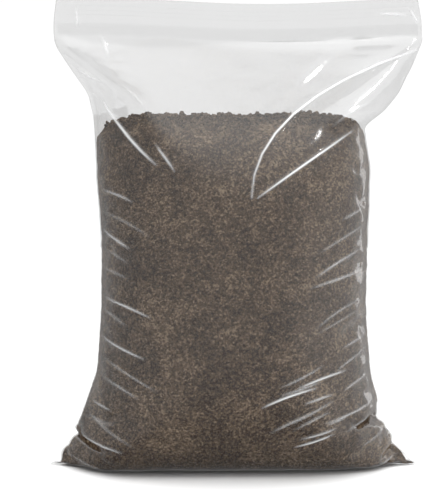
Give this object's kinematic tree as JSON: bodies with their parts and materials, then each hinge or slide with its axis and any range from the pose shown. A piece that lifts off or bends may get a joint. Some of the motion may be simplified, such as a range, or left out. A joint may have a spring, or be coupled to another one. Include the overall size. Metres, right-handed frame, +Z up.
{
  "type": "compost bag",
  "caption": "Clear press-to-close film bag standing on its base, three quarters full of dark compost, with empty film flaring to a flat zip and lip.",
  "frame": {"origin": "middle of the base the bag stands on, at floor level", "axes": "+Z up from the base to the mouth, +X along the zip to the right as seen from the front, +Y from the front panel to the rear panel"},
  "size_m": [0.3044, 0.158, 0.387],
  "materials": {
    "film": "gloss",
    "zip_strip": "satin",
    "compost": "matte"
  },
  "bodies": {
    "root": {"bag_film": "film", "compost": "compost", "zip_groove_strip": "zip_strip", "zip_rib_strip": "zip_strip"}
  },
  "joints": []
}
